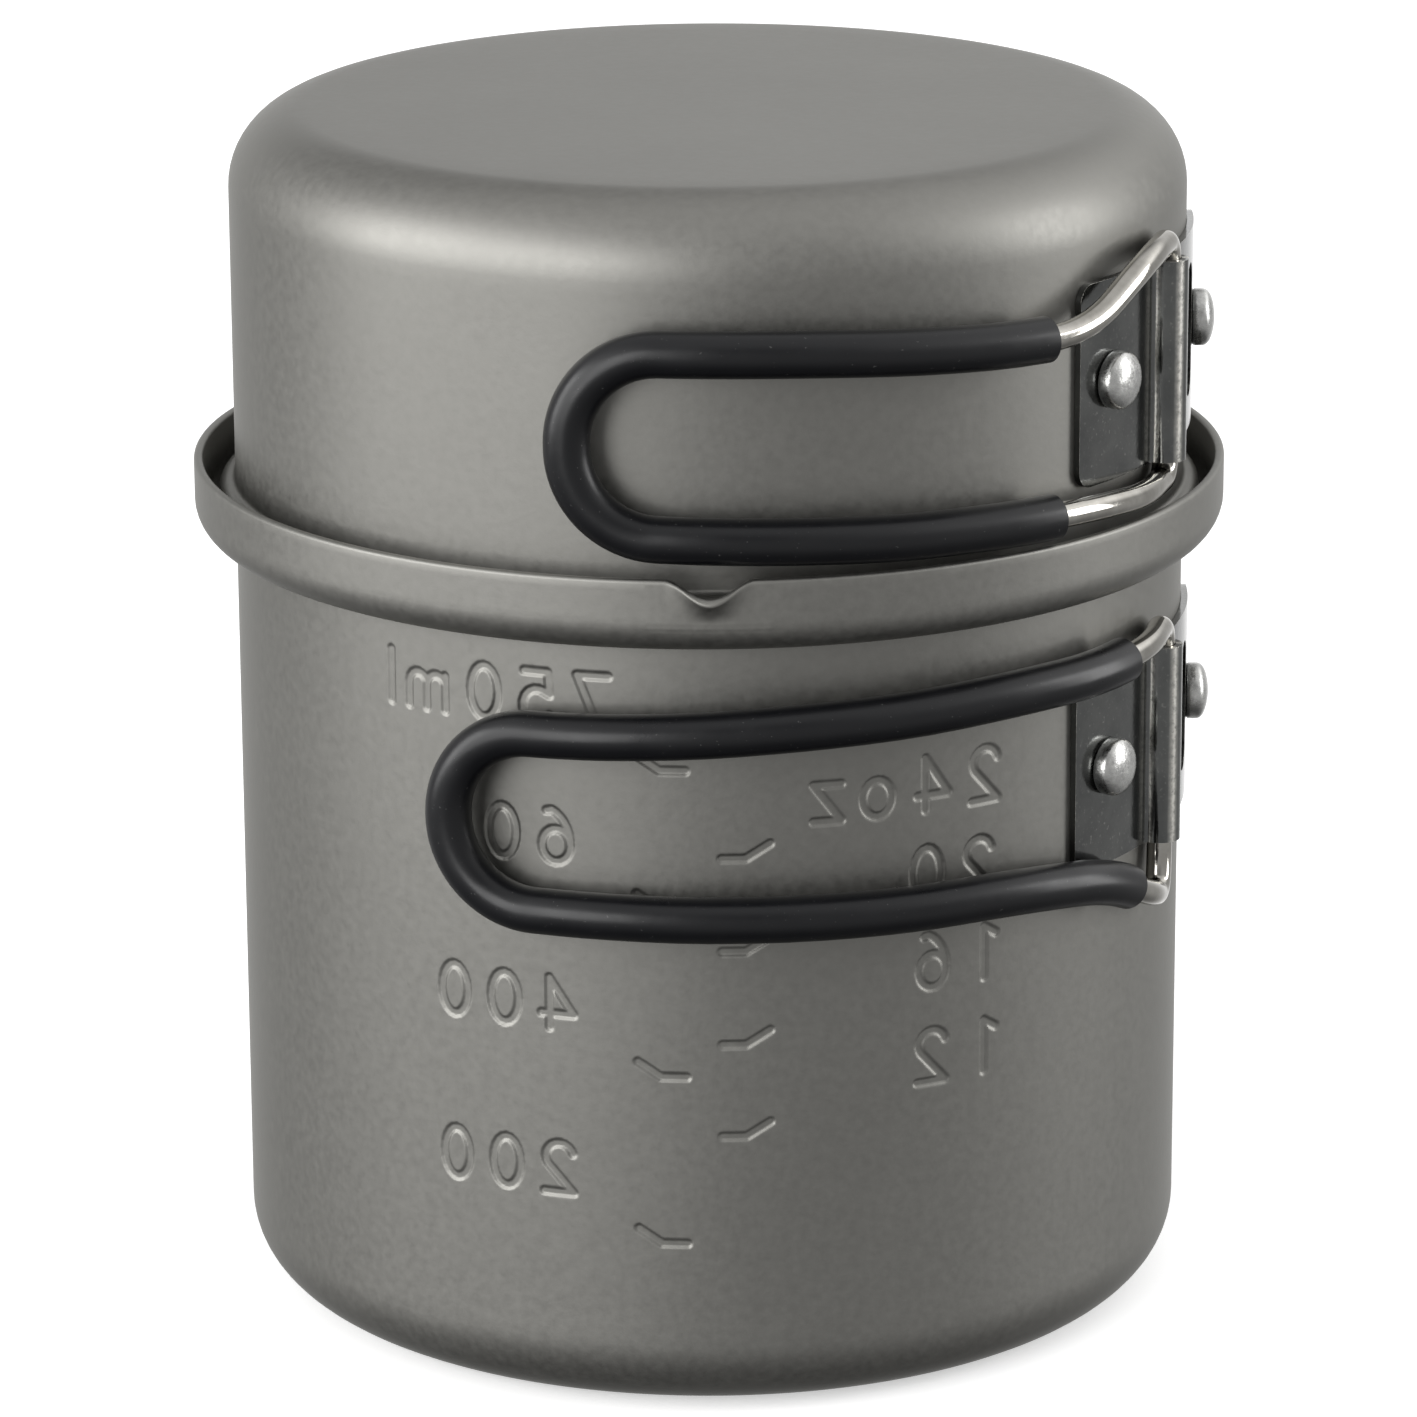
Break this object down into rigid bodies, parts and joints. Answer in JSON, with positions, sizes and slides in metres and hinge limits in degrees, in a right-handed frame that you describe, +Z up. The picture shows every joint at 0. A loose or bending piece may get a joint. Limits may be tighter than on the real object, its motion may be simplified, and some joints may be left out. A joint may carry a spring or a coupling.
{
  "type": "cooking pot set",
  "caption": "Nesting camp cooking set: deep round pot with a stepped rim and pouring lip, pan-shaped lid, each with a side-folding sleeved wire handle on a riveted bracket.",
  "frame": {"origin": "centre of the pot's flat base, on the surface it stands on", "axes": "+Z up along the pot's axis; the pouring lip faces -Y; both handle hinges are at +X, 65.2 degrees round from -Y"},
  "size_m": [0.123, 0.1245, 0.144],
  "materials": {
    "anodised_aluminium": "hard-anodised, matt warm grey",
    "bracket_steel": "plain stainless sheet with bright bend lines",
    "rivet_aluminium": "satin, lightly tumbled",
    "wire_steel": "polished drawn stainless wire",
    "sleeve_rubber": "satin black silicone rubber"
  },
  "bodies": {
    "pot": {"pot_body": "anodised_aluminium", "pot_bracket": "bracket_steel", "pot_rivet_front": "rivet_aluminium", "pot_rivet_rear": "rivet_aluminium"},
    "lid": {"lid_pan": "anodised_aluminium", "lid_bracket": "bracket_steel", "lid_rivet_front": "rivet_aluminium", "lid_rivet_rear": "rivet_aluminium"},
    "pot_handle": {"pot_handle_wire": "wire_steel", "pot_handle_sleeve": "sleeve_rubber"},
    "lid_handle": {"lid_handle_wire": "wire_steel", "lid_handle_sleeve": "sleeve_rubber"}
  },
  "joints": [
    {"name": "lid_lift", "type": "slide", "parent": "pot", "child": "lid", "axis": [0, 0, 1], "range_m": [0, 0.06]},
    {"name": "pot_handle_hinge", "type": "hinge", "parent": "pot", "child": "pot_handle", "pos_m": [0.05292, -0.02445, 0.0723], "axis": [0, 0, 1], "range_deg": [0, 135]},
    {"name": "lid_handle_hinge", "type": "hinge", "parent": "lid", "child": "lid_handle", "pos_m": [0.05292, -0.02445, 0.11845], "axis": [0, 0, 1], "range_deg": [0, 130]}
  ]
}
